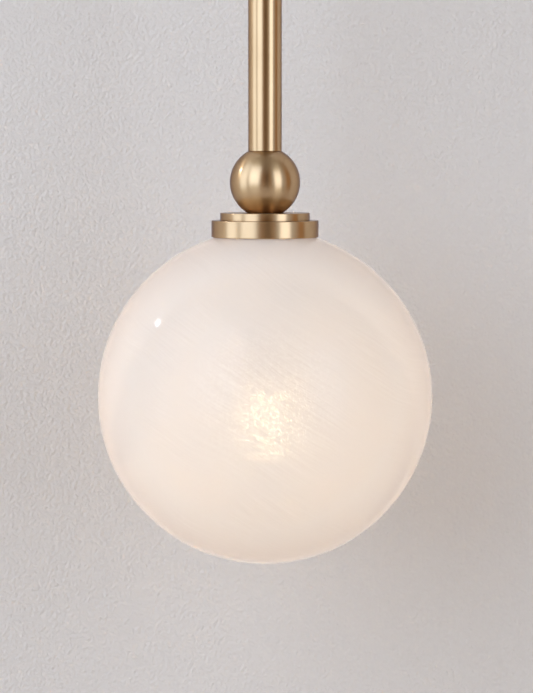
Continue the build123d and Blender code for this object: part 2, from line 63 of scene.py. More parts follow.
# ------------------------------------------------------------------ sizes taken from the model
stem_foot, stem_head = span("stem_tube", UP)
tube_radius = span("stem_tube", ACROSS)[1]
stem_y = sum(span("stem_tube", OUT)) / 2
ball_radius = span("lower_ball", ACROSS)[1]
ball_foot = span("lower_ball", UP)[0]
ball_level = stem_foot - sqrt(ball_radius**2 - tube_radius**2)
disc_foot, disc_head = span("cap_step_disc", UP)
disc_radius = span("cap_step_disc", ACROSS)[1]
collar_foot, collar_head = span("globe_collar", UP)
collar_radius = span("globe_collar", ACROSS)[1]
globe_foot = span("glass_globe", UP)[0]
globe_radius = span("glass_globe", ACROSS)[1]
globe_level = globe_foot + globe_radius
ring_foot, ring_head = span("globe_neck_ring", UP)
ring_radius = span("globe_neck_ring", ACROSS)[1]
seal_foot, seal_head = span("neck_seal", UP)
seal_radius = span("neck_seal", ACROSS)[1]
lamp_rim, lamp_cap_head = span("lamp_cap", UP)
lamp_cap_radius = span("lamp_cap", ACROSS)[1]
filament_foot, filament_head = span("lamp_filaments", UP)
holder_foot, barrel_head = span("holder_barrel", UP)
holder_radius = span("holder_barrel", ACROSS)[1]
holder_ceiling = span("holder_screw_shell", UP)[1]
well_radius = span("holder_screw_shell", ACROSS)[1] + FIT_GAP
holder_floor = span("holder_terminals", UP)[0]
cap_head = span("holder_cap", UP)[1]
arm_tip, arm_root = (-out for out in span("arm_tube", OUT))
canopy_radius = span("wall_canopy", ACROSS)[1]
canopy_face = -span("wall_canopy", OUT)[0]
canopy_disc_radius = span("canopy_step_disc", ACROSS)[1]
nut_reach = span("canopy_ball_nuts", ACROSS)[1]
nut_radius = span("canopy_ball_nuts", UP)[1]

# Sizes that a node's box doesn't give
TUBE_WALL = 1.5
CANOPY_WALL = 1.5
NUT_FOOT_RADIUS = 4.0
PASSING_RADIUS = 5.3  # hole that the 10 mm all-thread passes
TAPPED_RADIUS = 5.05  # hole that it screws into
COLLAR_ROOF = 2.0
COLLAR_LIP = 1.5
COLLAR_WALL = 4.5
COLLAR_REBATE = 0.9
COLLAR_LEAD = 0.4  # plain bore under the collar's thread
COLLAR_RUNOUT = 0.2  # and over it
GLASS_WALL = 3.0
RING_WALL = 3.0
RING_SHANK = 4.0  # plain foot of the neck ring, cemented in the glass
RING_SHOULDER = 0.5
SEAL_WALL = 2.0
CHAMBER_RADIUS = 15.5
BARREL_LIP = 7.0  # plain band under the barrel's grip
BARREL_BROW = 2.0  # plain band over it
GRIP_RIBS = 40
GRIP_DEPTH = 0.5
GRIP_FADE = 0.6
HOLDER_CAP_WALL = 2.5
HOLDER_CAP_BOSS = 8.0
GROOVE_RISE = 4.0  # from the cap's foot to the groove round it
GROOVE_DEPTH = 0.6  # and half its width
LAMP_CAP_WALL = 0.5
LAMP_CAP_RIM = 0.3  # plain edge at each end of the lamp's cap
LAMP_PITCH = 3.63
NECK_PITCH = 2.0
THREAD_DEPTH = 0.7
COLLAR_THREAD_DEPTH = 0.4
ROWS_PER_TURN = 8  # rows of faces in one turn of a thread
SAME_RADIUS = 0.01  # radii that differ by less are one surface
ON_AXIS = 1e-6
EDGE_STEPS = 6  # faces across an eased edge
CRISP_ANGLE = 35  # degrees from which an edge isn't shaded over

# The opal's wisps
WISP_SLANT = 33  # degrees
WISP_SIZE = (30, 60, 1.2)  # length, depth and width
WISP_DRIFT = 12  # how far the glass's flow bends them
WISP_BUNCH = (5, -97, 5)  # middle of the thickest bunch, from the globe's centre
WISP_BUNCH_FADE = (15, 55)  # how far from there the bunch thins out


# ------------------------------------------------------------------ meshes
def eased(points, radii):
    """Rounds each corner of a closed profile of (radius, height) points by its own radius."""
    result = []
    for index, (corner, radius) in enumerate(zip(points, radii)):
        here = Vector(corner)
        if radius == 0:
            result.append(here)
            continue
        back = (Vector(points[index - 1]) - here).normalized()
        ahead = (Vector(points[(index + 1) % len(points)]) - here).normalized()
        half_angle = acos(max(-1, min(1, back.dot(ahead)))) / 2
        centre = here + (back + ahead).normalized() * radius / sin(half_angle)
        first = here + back * radius / tan(half_angle) - centre
        last = here + ahead * radius / tan(half_angle) - centre
        for step in range(EDGE_STEPS + 1):
            turned = first.normalized().slerp(last.normalized(), step / EDGE_STEPS)
            result.append(centre + turned * first.length)
    return result


def arc(centre_height, radius, first_angle, last_angle, steps):
    """Points of a ball's half section. Angles run from its lowest point upwards."""
    points = []
    for step in range(steps + 1):
        angle = first_angle + (last_angle - first_angle) * step / steps
        points.append(Vector((radius * sin(angle), centre_height - radius * cos(angle))))
    return points


def on_stem(radius, angle, height):
    """A point round the stem's axis."""
    return Vector((radius * cos(angle), stem_y + radius * sin(angle), height)) * MM


def off_wall(radius, angle, height):
    """A point round the arm's axis, at a height above the wall."""
    return Vector((radius * cos(angle), -height, radius * sin(angle))) * MM


def new_piece(name, vertices, faces, materials):
    """A smooth-shaded object from a mesh in metres, with crisp edges where it is angular."""
    mesh = bpy.data.meshes.new(name)
    mesh.from_pydata(vertices, [], faces)
    mesh.validate()
    mesh.update()
    mesh.shade_smooth()
    mesh.set_sharp_from_angle(angle=radians(CRISP_ANGLE))
    for material in materials:
        mesh.materials.append(material)
    piece = bpy.data.objects.new(name, mesh)
    bpy.context.scene.collection.objects.link(piece)
    flats = piece.modifiers.new("flat_faces", "WEIGHTED_NORMAL")
    flats.keep_sharp = True
    return piece


def turned_mesh(profile, place, segments, closed=True, ripple=None):
    """Vertices and faces of a profile turned about an axis; ripple may vary a radius."""
    vertices, rings = [], []
    for radius, height in profile:
        if radius < ON_AXIS:
            rings.append([len(vertices)] * segments)
            vertices.append(place(0, 0, height))
            continue
        rings.append(list(range(len(vertices), len(vertices) + segments)))
        for index in range(segments):
            angle = 2 * pi * index / segments
            change = ripple(radius, angle, height) if ripple else 0
            vertices.append(place(radius + change, angle, height))
    faces = []
    pairs = list(zip(rings, rings[1:]))
    if closed:
        pairs.append((rings[-1], rings[0]))
    for lower, upper in pairs:
        for index in range(segments):
            following = (index + 1) % segments
            corners = [lower[index], lower[following], upper[following], upper[index]]
            loop = [v for i, v in enumerate(corners) if v != corners[i - 1]]
            if len(loop) > 2:
                faces.append(loop)
    return vertices, faces


def outward(piece):
    """Turns a closed piece's faces outward."""
    work = bmesh.new()
    work.from_mesh(piece.data)
    bmesh.ops.recalc_face_normals(work, faces=work.faces)
    work.to_mesh(piece.data)
    work.free()


def fit(piece, body, slot, *nodes):
    """Mounts a finished piece on its body and hides the CAD nodes it stands for; slot is not used.
    """
    outward(piece)
    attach(piece, body)
    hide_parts(*nodes)


def levels(low, high, pitch):
    """Heights of the rows that a thread of this pitch needs."""
    count = int((high - low) / pitch * ROWS_PER_TURN)
    return [low + (high - low) * step / count for step in range(count + 1)]


def threaded(cores, low, high, pitch, depth):
    """Ripple of a right-hand thread on these radii: it fades in over a turn at each end."""
    def ripple(radius, angle, height):
        nearest = min(abs(radius - core) for core in cores)
        if nearest > SAME_RADIUS or not low < height < high:
            return 0
        fade = min(1, (height - low) / pitch, (high - height) / pitch)
        turn = height / pitch - angle / (2 * pi)
        return depth * fade * (0.5 - 0.5 * cos(2 * pi * turn))
    return ripple


def fluted(outer_radius, low, high, count, depth):
    """Ripple of grip flutes moulded into a barrel, with plain bands above and below."""
    def ripple(radius, angle, height):
        if abs(radius - outer_radius) > SAME_RADIUS or not low < height < high:
            return 0
        return -depth * (0.5 - 0.5 * cos(count * angle))
    return ripple


# ------------------------------------------------------------------ materials
def linear(code):
    """An sRGB hex colour as the linear values that a shader takes."""
    channels = [int(code[i:i + 2], 16) / 255 for i in (0, 2, 4)]
    values = [c / 12.92 if c <= 0.04045 else ((c + 0.055) / 1.055) ** 2.4 for c in channels]
    return (*values, 1.0)


def add(tree, kind, inputs=None, stops=(), **settings):
    """Adds a node. Each input takes a value or another node's output, and a colour ramp takes
    its stops as (position, hex)."""
    node = tree.nodes.new(kind)
    for name, value in settings.items():
        setattr(node, name, value)
    for name, value in (inputs or {}).items():
        if isinstance(value, bpy.types.NodeSocket):
            tree.links.new(value, node.inputs[name])
        else:
            node.inputs[name].default_value = value
    for _ in stops[2:]:
        node.color_ramp.elements.new(0.5)
    for index, (position, code) in enumerate(stops):
        node.color_ramp.elements[index].position = position
        node.color_ramp.elements[index].color = linear(code)
    return node


def finish(name, shader):
    """A material whose surface is what shader(tree) returns."""
    material = bpy.data.materials.new(name)
    material.use_nodes = True
    tree = material.node_tree
    tree.nodes.clear()
    add(tree, "ShaderNodeOutputMaterial", {"Surface": shader(tree)})
    return material


def per_metre(size):
    """Noise scale that gives a pattern of this size in millimetres."""
    return 1 / (size * MM)


def turning_marks(tree, axis, mark_size):
    """Noise in rings about the stem's or the arm's axis: the marks that a lathe leaves."""
    place = add(tree, "ShaderNodeTexCoord").outputs["Object"]
    middle = (0, stem_y * MM, 0) if axis == "Z" else (0, 0, 0)
    moved = add(tree, "ShaderNodeVectorMath", {0: place, 1: middle}, operation="SUBTRACT")
    parts = add(tree, "ShaderNodeSeparateXYZ", {"Vector": moved.outputs[0]})
    level, other = (("Z", "Y") if axis == "Z" else ("Y", "Z"))
    flat = add(tree, "ShaderNodeCombineXYZ", {"X": parts.outputs["X"], "Y": parts.outputs[other]})
    radius = add(tree, "ShaderNodeVectorMath", {0: flat.outputs[0]}, operation="LENGTH")
    ring = add(tree, "ShaderNodeCombineXYZ",
               {"X": radius.outputs["Value"], "Y": parts.outputs[level]})
    noise = add(tree, "ShaderNodeTexNoise",
                {"Vector": ring.outputs[0], "Scale": per_metre(mark_size), "Detail": 2.0,
                 "Roughness": 0.6})
    return noise.outputs["Fac"]


def satin_brass(name, axis, line_depth):
    """Brass turned on a lathe, satined round with fine abrasive and lacquered. The marks run
    round the piece, so reflections stretch across them into long soft bands, and the clear
    lacquer lays a little white over them."""
    def shader(tree):
        marks = turning_marks(tree, axis, 0.8)  # real marks of 0.05 mm, drawn coarser to show
        place = add(tree, "ShaderNodeTexCoord").outputs["Object"]
        cloud = add(tree, "ShaderNodeTexNoise",  # the lacquer's tone drifts over 30 mm
                    {"Vector": place, "Scale": per_metre(30), "Detail": 3.0}).outputs["Fac"]
        tone = add(tree, "ShaderNodeValToRGB", {"Fac": cloud},
                   stops=[(0.3, "C3A072"), (0.7, "CDAB7E")])
        dullness = add(tree, "ShaderNodeMapRange", {"Value": marks, "From Min": 0.3,
                                                    "From Max": 0.7, "To Min": 0.28,
                                                    "To Max": 0.30})
        bump = add(tree, "ShaderNodeBump", {"Height": marks, "Strength": 1.0,
                                            "Distance": line_depth * MM})
        tangent = add(tree, "ShaderNodeTangent", direction_type="RADIAL", axis=axis)
        brass = add(tree, "ShaderNodeBsdfPrincipled",
                    {"Base Color": tone.outputs["Color"], "Metallic": 1.0,
                     "Roughness": dullness.outputs["Result"], "Anisotropic": 0.85,
                     "Anisotropic Rotation": 0.25, "Tangent": tangent.outputs["Tangent"],
                     "Specular Tint": linear("7A5A4C"), "Normal": bump.outputs["Normal"],
                     "Coat Weight": 0.6, "Coat Roughness": 0.2, "Coat IOR": 1.8})
        return brass.outputs["BSDF"]
    return finish(name, shader)


def machined_brass():
    """Free-cutting brass straight from the lathe: yellower, brighter and ridged by the tool."""
    def shader(tree):
        marks = turning_marks(tree, "Z", 0.35)  # the tool's feed
        tone = add(tree, "ShaderNodeValToRGB", {"Fac": marks},
                   stops=[(0.3, "C7A25A"), (0.7, "D8B66C")])
        dullness = add(tree, "ShaderNodeMapRange", {"Value": marks, "From Min": 0.3,
                                                    "From Max": 0.7, "To Min": 0.22,
                                                    "To Max": 0.34})
        bump = add(tree, "ShaderNodeBump", {"Height": marks, "Strength": 0.25, "Distance": 0.0001})
        brass = add(tree, "ShaderNodeBsdfPrincipled",
                    {"Base Color": tone.outputs["Color"], "Metallic": 1.0,
                     "Roughness": dullness.outputs["Result"], "Normal": bump.outputs["Normal"]})
        return brass.outputs["BSDF"]
    return finish("machined_brass", shader)


def speckled(name, light, dark, grain, roughness, depth, metallic=0.0):
    """A finish whose colour, gloss and relief vary over one grain size. The real grain of these
    is under 0.2 mm, and it is drawn as coarse as it needs to show."""
    def shader(tree):
        place = add(tree, "ShaderNodeTexCoord").outputs["Object"]
        noise = add(tree, "ShaderNodeTexNoise",
                    {"Vector": place, "Scale": per_metre(grain), "Detail": 4.0}).outputs["Fac"]
        tone = add(tree, "ShaderNodeValToRGB", {"Fac": noise}, stops=[(0.3, dark), (0.7, light)])
        dullness = add(tree, "ShaderNodeMapRange",
                       {"Value": noise, "From Min": 0.3, "From Max": 0.7,
                        "To Min": roughness - 0.05, "To Max": roughness + 0.05})
        bump = add(tree, "ShaderNodeBump", {"Height": noise, "Strength": 0.3,
                                            "Distance": depth * MM})
        surface = add(tree, "ShaderNodeBsdfPrincipled",
                      {"Base Color": tone.outputs["Color"], "Metallic": metallic,
                       "Roughness": dullness.outputs["Result"], "Normal": bump.outputs["Normal"]})
        return surface.outputs["BSDF"]
    return finish(name, shader)


def opal_streaks(tree):
    """Marbling of the blown opal: thin wisps that were drawn out as the glass was spun,
    slanting down to the right, and bunched in patches."""
    place = add(tree, "ShaderNodeTexCoord").outputs["Object"]
    centre = (0, stem_y * MM, globe_level * MM)
    moved = add(tree, "ShaderNodeVectorMath", {0: place, 1: centre}, operation="SUBTRACT")
    drift = add(tree, "ShaderNodeTexNoise",
                {"Vector": moved.outputs[0], "Scale": per_metre(60), "Detail": 1.0})
    bent = add(tree, "ShaderNodeVectorMath",
               {0: drift.outputs["Color"], 1: [WISP_DRIFT * MM] * 3, 2: moved.outputs[0]},
               operation="MULTIPLY_ADD")
    laid = add(tree, "ShaderNodeMapping",
               {"Vector": bent.outputs[0], "Rotation": (0, radians(WISP_SLANT), 0),
                "Scale": [size * MM for size in WISP_SIZE]}, vector_type="TEXTURE")
    wisps = add(tree, "ShaderNodeTexNoise",
                {"Vector": laid.outputs[0], "Scale": 1.0, "Detail": 5.0, "Roughness": 0.7})
    patches = add(tree, "ShaderNodeTexNoise",
                  {"Vector": moved.outputs[0], "Scale": per_metre(50), "Detail": 1.0})
    scattered = add(tree, "ShaderNodeMapRange",
                    {"Value": patches.outputs["Fac"], "From Min": 0.45, "From Max": 0.62,
                     "To Min": 0.0, "To Max": 0.4})
    bunch = [size * MM for size in WISP_BUNCH]
    away = add(tree, "ShaderNodeVectorMath", {0: moved.outputs[0], 1: bunch}, operation="DISTANCE")
    full, gone = WISP_BUNCH_FADE
    bunched = add(tree, "ShaderNodeMapRange",
                  {"Value": away.outputs["Value"], "From Min": full * MM, "From Max": gone * MM,
                   "To Min": 1.0, "To Max": 0.0})
    reach = add(tree, "ShaderNodeMath", {0: scattered.outputs[0], 1: bunched.outputs[0]},
                operation="MAXIMUM")
    centred = add(tree, "ShaderNodeMath", {0: wisps.outputs["Fac"], 1: 0.5}, operation="SUBTRACT")
    strength = add(tree, "ShaderNodeMath", {0: centred.outputs[0], 1: reach.outputs[0]},
                   operation="MULTIPLY")
    value = add(tree, "ShaderNodeMath", {0: strength.outputs[0], 1: 0.5}, operation="ADD")
    return value.outputs[0], moved.outputs[0]


def opal_glass():
    """Opal glass blown over clear, with wisps in it. The fire-polished outside is glossy and the
    white layer scatters the lamp's light, but a little of the lamp shows through it. A painted
    glow, an even emission in the white layer, adds to the lamp's own light, and painted shade
    turns the white darker and peach towards the rim."""
    def shader(tree):
        streaks, place = opal_streaks(tree)
        seeds = add(tree, "ShaderNodeTexNoise",
                    {"Vector": place, "Scale": per_metre(2.0), "Detail": 1.0}).outputs["Fac"]
        rim = add(tree, "ShaderNodeLayerWeight", {"Blend": 0.5}).outputs["Facing"]
        # painted shade: the white turns darker and peach towards the rim as the globe is seen edge
        # on
        white = add(tree, "ShaderNodeValToRGB", {"Fac": rim},
                    stops=[(0.4, "CBC8C5"), (0.9, "BFA797"), (1.0, "AC7F60")])
        # painted glow: an even emission in the white layer, on top of the lamp's real light
        milk_and_painted_glow = add(tree, "ShaderNodeBsdfPrincipled",
                   {"Base Color": white.outputs["Color"], "Roughness": 0.05, "IOR": 1.4,
                    "Emission Color": linear("FFF6F0"), "Emission Strength": 0.22})
        wispy = add(tree, "ShaderNodeValToRGB", {"Fac": streaks},
                    stops=[(0.35, "E2DAD3"), (0.65, "F8F3EE")])
        glow = add(tree, "ShaderNodeBsdfTranslucent", {"Color": wispy.outputs["Color"]})
        seed_bump = add(tree, "ShaderNodeBump",
                        {"Height": seeds, "Strength": 1.0, "Distance": 0.001})
        clear = add(tree, "ShaderNodeBsdfPrincipled",
                    {"Base Color": linear("FFFCF4"), "Roughness": 0.5, "IOR": 1.2,
                     "Transmission Weight": 1.0, "Normal": seed_bump.outputs["Normal"]})
        glowing = add(tree, "ShaderNodeMapRange",  # glass seen edge on is thicker and glows less
                      {"Value": rim, "From Min": 0.3, "From Max": 1.0, "To Min": 0.46,
                       "To Max": 0.12})
        body = add(tree, "ShaderNodeMixShader", {0: glowing.outputs[0], 1: milk_and_painted_glow.outputs[0],
                                                 2: glow.outputs[0]})
        seedy = add(tree, "ShaderNodeMapRange",  # the opal is thinnest at its seeds
                    {"Value": seeds, "From Min": 0.45, "From Max": 0.64, "To Min": 0.01,
                     "To Max": 0.145})
        square_on = add(tree, "ShaderNodeMapRange",  # where a straight look meets the lamp
                        {"Value": rim, "From Min": 0.02, "From Max": 0.12, "To Min": 1.0,
                         "To Max": 0.1})
        thin = add(tree, "ShaderNodeMath", {0: seedy.outputs[0], 1: square_on.outputs[0]},
                   operation="MULTIPLY")
        whole = add(tree, "ShaderNodeMixShader", {0: thin.outputs[0], 1: body.outputs[0],
                                                  2: clear.outputs[0]})
        return whole.outputs[0]
    return finish("opal_glass_blown", shader)


def glass_inside():
    """The inside of the globe: clear glass under the opal, so it only adds a faint gloss."""
    def shader(tree):
        through = add(tree, "ShaderNodeBsdfTransparent", {"Color": linear("FFFFFF")})
        gloss = add(tree, "ShaderNodeBsdfPrincipled",
                    {"Base Color": linear("F2E8DE"), "Roughness": 0.1, "IOR": 1.5})
        faint = add(tree, "ShaderNodeMixShader", {0: 0.1, 1: through.outputs[0],
                                                  2: gloss.outputs[0]})
        return faint.outputs[0]
    return finish("clear_glass_casing", shader)


def lamp_glass():
    """Thin clear glass of the lamp: mostly air with a rim of reflection."""
    def shader(tree):
        through = add(tree, "ShaderNodeBsdfTransparent", {"Color": linear("F6F4EE")})
        gloss = add(tree, "ShaderNodeBsdfPrincipled",
                    {"Base Color": linear("F4F2EA"), "Roughness": 0.03, "IOR": 1.5})
        rim = add(tree, "ShaderNodeLayerWeight", {"Blend": 0.25})
        share = add(tree, "ShaderNodeMapRange",
                    {"Value": rim.outputs["Facing"], "From Min": 0.0, "From Max": 1.0,
                     "To Min": 0.06, "To Max": 0.5})
        shell = add(tree, "ShaderNodeMixShader", {0: share.outputs[0], 1: through.outputs[0],
                                                  2: gloss.outputs[0]})
        return shell.outputs[0]
    return finish("clear_lamp_glass", shader)


def filament_phosphor():
    """Yellow phosphor in rubber, moulded over the filaments' chips, which lie 1.5 mm apart. Lit,
    it is too bright for its own yellow to show."""
    def shader(tree):
        place = add(tree, "ShaderNodeTexCoord").outputs["Object"]
        grain = add(tree, "ShaderNodeTexNoise", {"Vector": place, "Scale": per_metre(1.5)})
        tone = add(tree, "ShaderNodeValToRGB", {"Fac": grain.outputs["Fac"]},
                   stops=[(0.3, "E0A43C"), (0.7, "F2C25C")])
        phosphor = add(tree, "ShaderNodeBsdfPrincipled",
                       {"Base Color": tone.outputs["Color"], "Roughness": 0.6,
                        "Emission Color": linear("FFEBC2"), "Emission Strength": 30.0})
        return phosphor.outputs[0]
    return finish("filament_phosphor_lit", shader)


def striped_insulation():
    """Plastic insulation extruded in two colours: glossy green with a yellow stripe down each
    side of the wire."""
    def shader(tree):
        normal = add(tree, "ShaderNodeNewGeometry").outputs["Normal"]
        parts = add(tree, "ShaderNodeSeparateXYZ", {"Vector": normal})
        side = add(tree, "ShaderNodeMath", {0: parts.outputs["Y"]}, operation="ABSOLUTE")
        stripe = add(tree, "ShaderNodeValToRGB", {"Fac": side.outputs[0]},
                     stops=[(0.62, "2F7A34"), (0.66, "E3C93A")])
        plastic = add(tree, "ShaderNodeBsdfPrincipled",
                      {"Base Color": stripe.outputs["Color"], "Roughness": 0.45})
        return plastic.outputs[0]
    return finish("striped_wire_insulation", shader)


stem_brass = satin_brass("satin_brass_turned", "Z", 0.002)
tube_brass = satin_brass("satin_brass_drawn_tube", "Z", 0.0003)  # drawing leaves it smoother
arm_brass = satin_brass("satin_brass_turned_at_wall", "Y", 0.001)
raw_brass = machined_brass()
# Pressed steel with bright zinc plate: an even, cold grey with a soft sheen
zinc = speckled("zinc_plated_steel", "C9CCD0", "B4B8BE", 1.2, 0.3, 0.01, metallic=1.0)
# The same plate dyed green under a clear film: half paint and half metal
green_zinc = speckled("green_passivated_steel", "3F8F4E", "2F7A40", 1.0, 0.35, 0.01, metallic=0.6)
# Rolled sheet with nickel plate: a slightly warm, nearly clear mirror
nickel = speckled("nickel_plated_shell", "D5D2CB", "C3C0B8", 2.0, 0.18, 0.01, metallic=1.0)
# Tin solder that set as a drop: pale, half dull and uneven
solder_blob = speckled("tin_solder", "BCC0C4", "A6AAB0", 2.5, 0.4, 0.15, metallic=1.0)
# Black glass pressed hot into the lamp's cap: deep black with a wet gloss
vitrite = speckled("black_vitrite_glass", "17171A", "101012", 3.0, 0.1, 0.01)
# Phenolic resin moulded with a wood-flour filler: brownish black with a low sheen
phenolic = speckled("black_phenolic_moulding", "1F1E1D", "171615", 0.8, 0.32, 0.02)
# Injection-moulded nylon: milky white and waxy
nylon = speckled("white_nylon_moulding", "E2E0D8", "D8D6CE", 1.5, 0.45, 0.02)
# Moulded silicone: pale, soft-looking and dry
silicone = speckled("silicone_rubber", "D9D8D2", "CFCEC8", 1.0, 0.55, 0.02)
# Plastic insulation extruded over the wire: one colour all through, with a dull gloss
brown_wire = speckled("brown_wire_insulation", "6B4227", "5C371F", 1.5, 0.45, 0.01)
blue_wire = speckled("blue_wire_insulation", "3167A8", "28579A", 1.5, 0.45, 0.01)
opal = opal_glass()
casing = glass_inside()
lamp_shell = lamp_glass()
phosphor = filament_phosphor()
striped_wire = striped_insulation()

kept_finishes = {
    "satin_brass": stem_brass, "raw_brass": raw_brass, "zinc_steel": zinc,
    "green_screw": green_zinc, "opal_glass": opal, "clear_glass": lamp_shell,
    "black_glass": vitrite, "nickel_shell": nickel, "solder": solder_blob,
    "filament_phosphor": phosphor, "black_moulding": phenolic, "white_moulding": nylon,
    "silicone": silicone, "brown_insulation": brown_wire, "blue_insulation": blue_wire,
    "green_yellow_insulation": striped_wire,
}
for subpart in frame["record"]["subparts"]:
    node_object = frame["nodes"][subpart["node"]]
    for material_slot in node_object.material_slots:
        material_slot.material = kept_finishes[subpart["material_slot"]]

# ------------------------------------------------------------------ camera: the photograph's view
PICTURE_LENS = 130.5  # on a 36 mm picture height: 0.597 mm of the globe to a pixel
CAMERA_AWAY = 1500
CAMERA_ACROSS = 0.9  # right of the stem
CAMERA_LEVEL = -267.8
AIM_LEVEL = -385.1
camera_data = bpy.data.cameras.new("photo_camera")
camera_data.lens = PICTURE_LENS
camera_data.sensor_width = 36.0
camera = bpy.data.objects.new("photo_camera", camera_data)
bpy.context.scene.collection.objects.link(camera)
camera.location = Vector((CAMERA_ACROSS, stem_y - CAMERA_AWAY, CAMERA_LEVEL)) * MM
aim = Vector((CAMERA_ACROSS, stem_y, AIM_LEVEL)) * MM
camera.rotation_euler = (aim - camera.location).to_track_quat("-Z", "Y").to_euler()
bpy.context.scene.camera = camera

# ------------------------------------------------------------------ brass at the wall
canopy = turned_mesh(
    eased([(canopy_radius, 0), (canopy_radius, canopy_face), (PASSING_RADIUS, canopy_face),
           (PASSING_RADIUS, canopy_face - CANOPY_WALL),
           (canopy_radius - CANOPY_WALL, canopy_face - CANOPY_WALL),
           (canopy_radius - CANOPY_WALL, 0)],
          [0.3, 0.8, 0.1, 0.1, 0.5, 0.3]),
    off_wall, segments=256)
fit(new_piece("spun_wall_canopy", *canopy, [arm_brass]), "fixture", "satin_brass", "wall_canopy")

canopy_disc = turned_mesh(
    eased([(canopy_disc_radius, canopy_face), (canopy_disc_radius, arm_root),
           (PASSING_RADIUS, arm_root), (PASSING_RADIUS, canopy_face)],
          [0.15, 0.5, 0.1, 0.1]),
    off_wall, segments=224)
fit(new_piece("turned_canopy_step", *canopy_disc, [arm_brass]), "fixture", "satin_brass",
    "canopy_step_disc")

nut_seat = sqrt(nut_radius**2 - NUT_FOOT_RADIUS**2)
nut_profile = arc(canopy_face + nut_seat, nut_radius, acos(nut_seat / nut_radius), pi, 28)
nut_vertices, nut_faces = [], []
for side in (-1, 1):
    shift = Vector((side * (nut_reach - nut_radius), 0, 0)) * MM
    vertices, faces = turned_mesh([Vector((0, canopy_face)), *nut_profile], off_wall,
                                  closed=False, segments=64)
    nut_faces += [[v + len(nut_vertices) for v in face] for face in faces]
    nut_vertices += [v + shift for v in vertices]
fit(new_piece("ball_cap_nuts", nut_vertices, nut_faces, [arm_brass]), "fixture", "satin_brass",
    "canopy_ball_nuts")


def tube_profile(low, high):
    """Section of a tube whose ends are cut square and eased."""
    bore = tube_radius - TUBE_WALL
    return eased([(tube_radius, low), (tube_radius, high), (bore, high), (bore, low)], [0.25] * 4)


arm = turned_mesh(tube_profile(arm_root, arm_tip), off_wall, segments=128)
fit(new_piece("arm_tube_drawn", *arm, [arm_brass]), "fixture", "satin_brass", "arm_tube")

# ------------------------------------------------------------------ brass on the stem
stem = turned_mesh(tube_profile(stem_foot, stem_head), on_stem, segments=128)
fit(new_piece("stem_tube_drawn", *stem, [tube_brass]), "fixture", "satin_brass", "stem_tube")

foot_angle = acos((ball_level - ball_foot) / ball_radius)
head_angle = pi - acos((stem_foot - ball_level) / ball_radius)
ball_side = arc(ball_level, ball_radius, foot_angle, head_angle, 72)
ball = turned_mesh([Vector((PASSING_RADIUS, ball_foot)), *ball_side,
                    Vector((PASSING_RADIUS, stem_foot))], on_stem, segments=160)
fit(new_piece("lower_ball_turned", *ball, [stem_brass]), "fixture", "satin_brass", "lower_ball")

disc = turned_mesh(
    eased([(disc_radius, disc_foot), (disc_radius, disc_head), (PASSING_RADIUS, disc_head),
           (PASSING_RADIUS, disc_foot)], [0.15, 0.45, 0.1, 0.1]),
    on_stem, segments=192)
fit(new_piece("cap_step_turned", *disc, [stem_brass]), "fixture", "satin_brass", "cap_step_disc")

collar_bore = collar_radius - COLLAR_WALL
collar_roof = collar_head - COLLAR_ROOF
collar_ledge = collar_foot + COLLAR_REBATE
collar_thread = (collar_ledge + COLLAR_LEAD, collar_roof - COLLAR_RUNOUT, NECK_PITCH)
collar_rows = [(collar_bore, level) for level in reversed(levels(*collar_thread))]
collar_profile = [(collar_radius, collar_foot), (collar_radius, collar_head),
                  (PASSING_RADIUS, collar_head), (PASSING_RADIUS, collar_roof),
                  (collar_bore, collar_roof), *collar_rows, (collar_bore, collar_ledge),
                  (collar_radius - COLLAR_LIP, collar_ledge),
                  (collar_radius - COLLAR_LIP, collar_foot)]
collar_easing = [0.35, 0.45, 0.1, 0.1, 0.1, *[0] * len(collar_rows), 0.1, 0.1, 0.3]
collar = turned_mesh(
    eased(collar_profile, collar_easing), on_stem, segments=224,
    ripple=threaded([collar_bore], *collar_thread, -COLLAR_THREAD_DEPTH))
fit(new_piece("globe_collar_turned", *collar, [stem_brass]), "fixture", "satin_brass",
    "globe_collar")

# ------------------------------------------------------------------ globe, its ring and seal
hole_radius = ring_radius + FIT_GAP
inner_radius = globe_radius - GLASS_WALL
outer_top = pi - acos(sqrt(globe_radius**2 - hole_radius**2) / globe_radius)
inner_top = pi - acos(sqrt(inner_radius**2 - hole_radius**2) / inner_radius)
outside = arc(globe_level, globe_radius, 0, outer_top, 110)
inside = arc(globe_level, inner_radius, inner_top, 0, 110)
globe = turned_mesh([*outside, *inside], on_stem, closed=False, segments=224)
globe_piece = new_piece("blown_opal_globe", *globe, [opal, casing])
fit(globe_piece, "globe", "opal_glass", "glass_globe")
globe_centre = Vector((0, stem_y, globe_level)) * MM
halfway = (globe_radius + inner_radius) / 2 * MM
for polygon in globe_piece.data.polygons:
    if (polygon.center - globe_centre).length < halfway:
        polygon.material_index = 1

ring_core = ring_radius - THREAD_DEPTH
ring_bore = ring_radius - RING_WALL
shank_head = ring_foot + RING_SHANK
ring_thread = (shank_head, ring_head, NECK_PITCH)
ring_profile = [(ring_bore, ring_foot), (ring_radius, ring_foot),
                (ring_radius, shank_head - RING_SHOULDER),
                *[(ring_core, level) for level in levels(*ring_thread)], (ring_bore, ring_head)]
ring = turned_mesh(ring_profile, on_stem, segments=160,
                   ripple=threaded([ring_core], *ring_thread, THREAD_DEPTH))
fit(new_piece("threaded_neck_ring", *ring, [raw_brass]), "globe", "raw_brass", "globe_neck_ring")

seal = turned_mesh(
    eased([(seal_radius, seal_foot), (seal_radius, seal_head),
           (seal_radius - SEAL_WALL, seal_head), (seal_radius - SEAL_WALL, seal_foot)], [0.4] * 4),
    on_stem, segments=128)
fit(new_piece("silicone_neck_seal", *seal, [silicone]), "neck_seal", "silicone", "neck_seal")

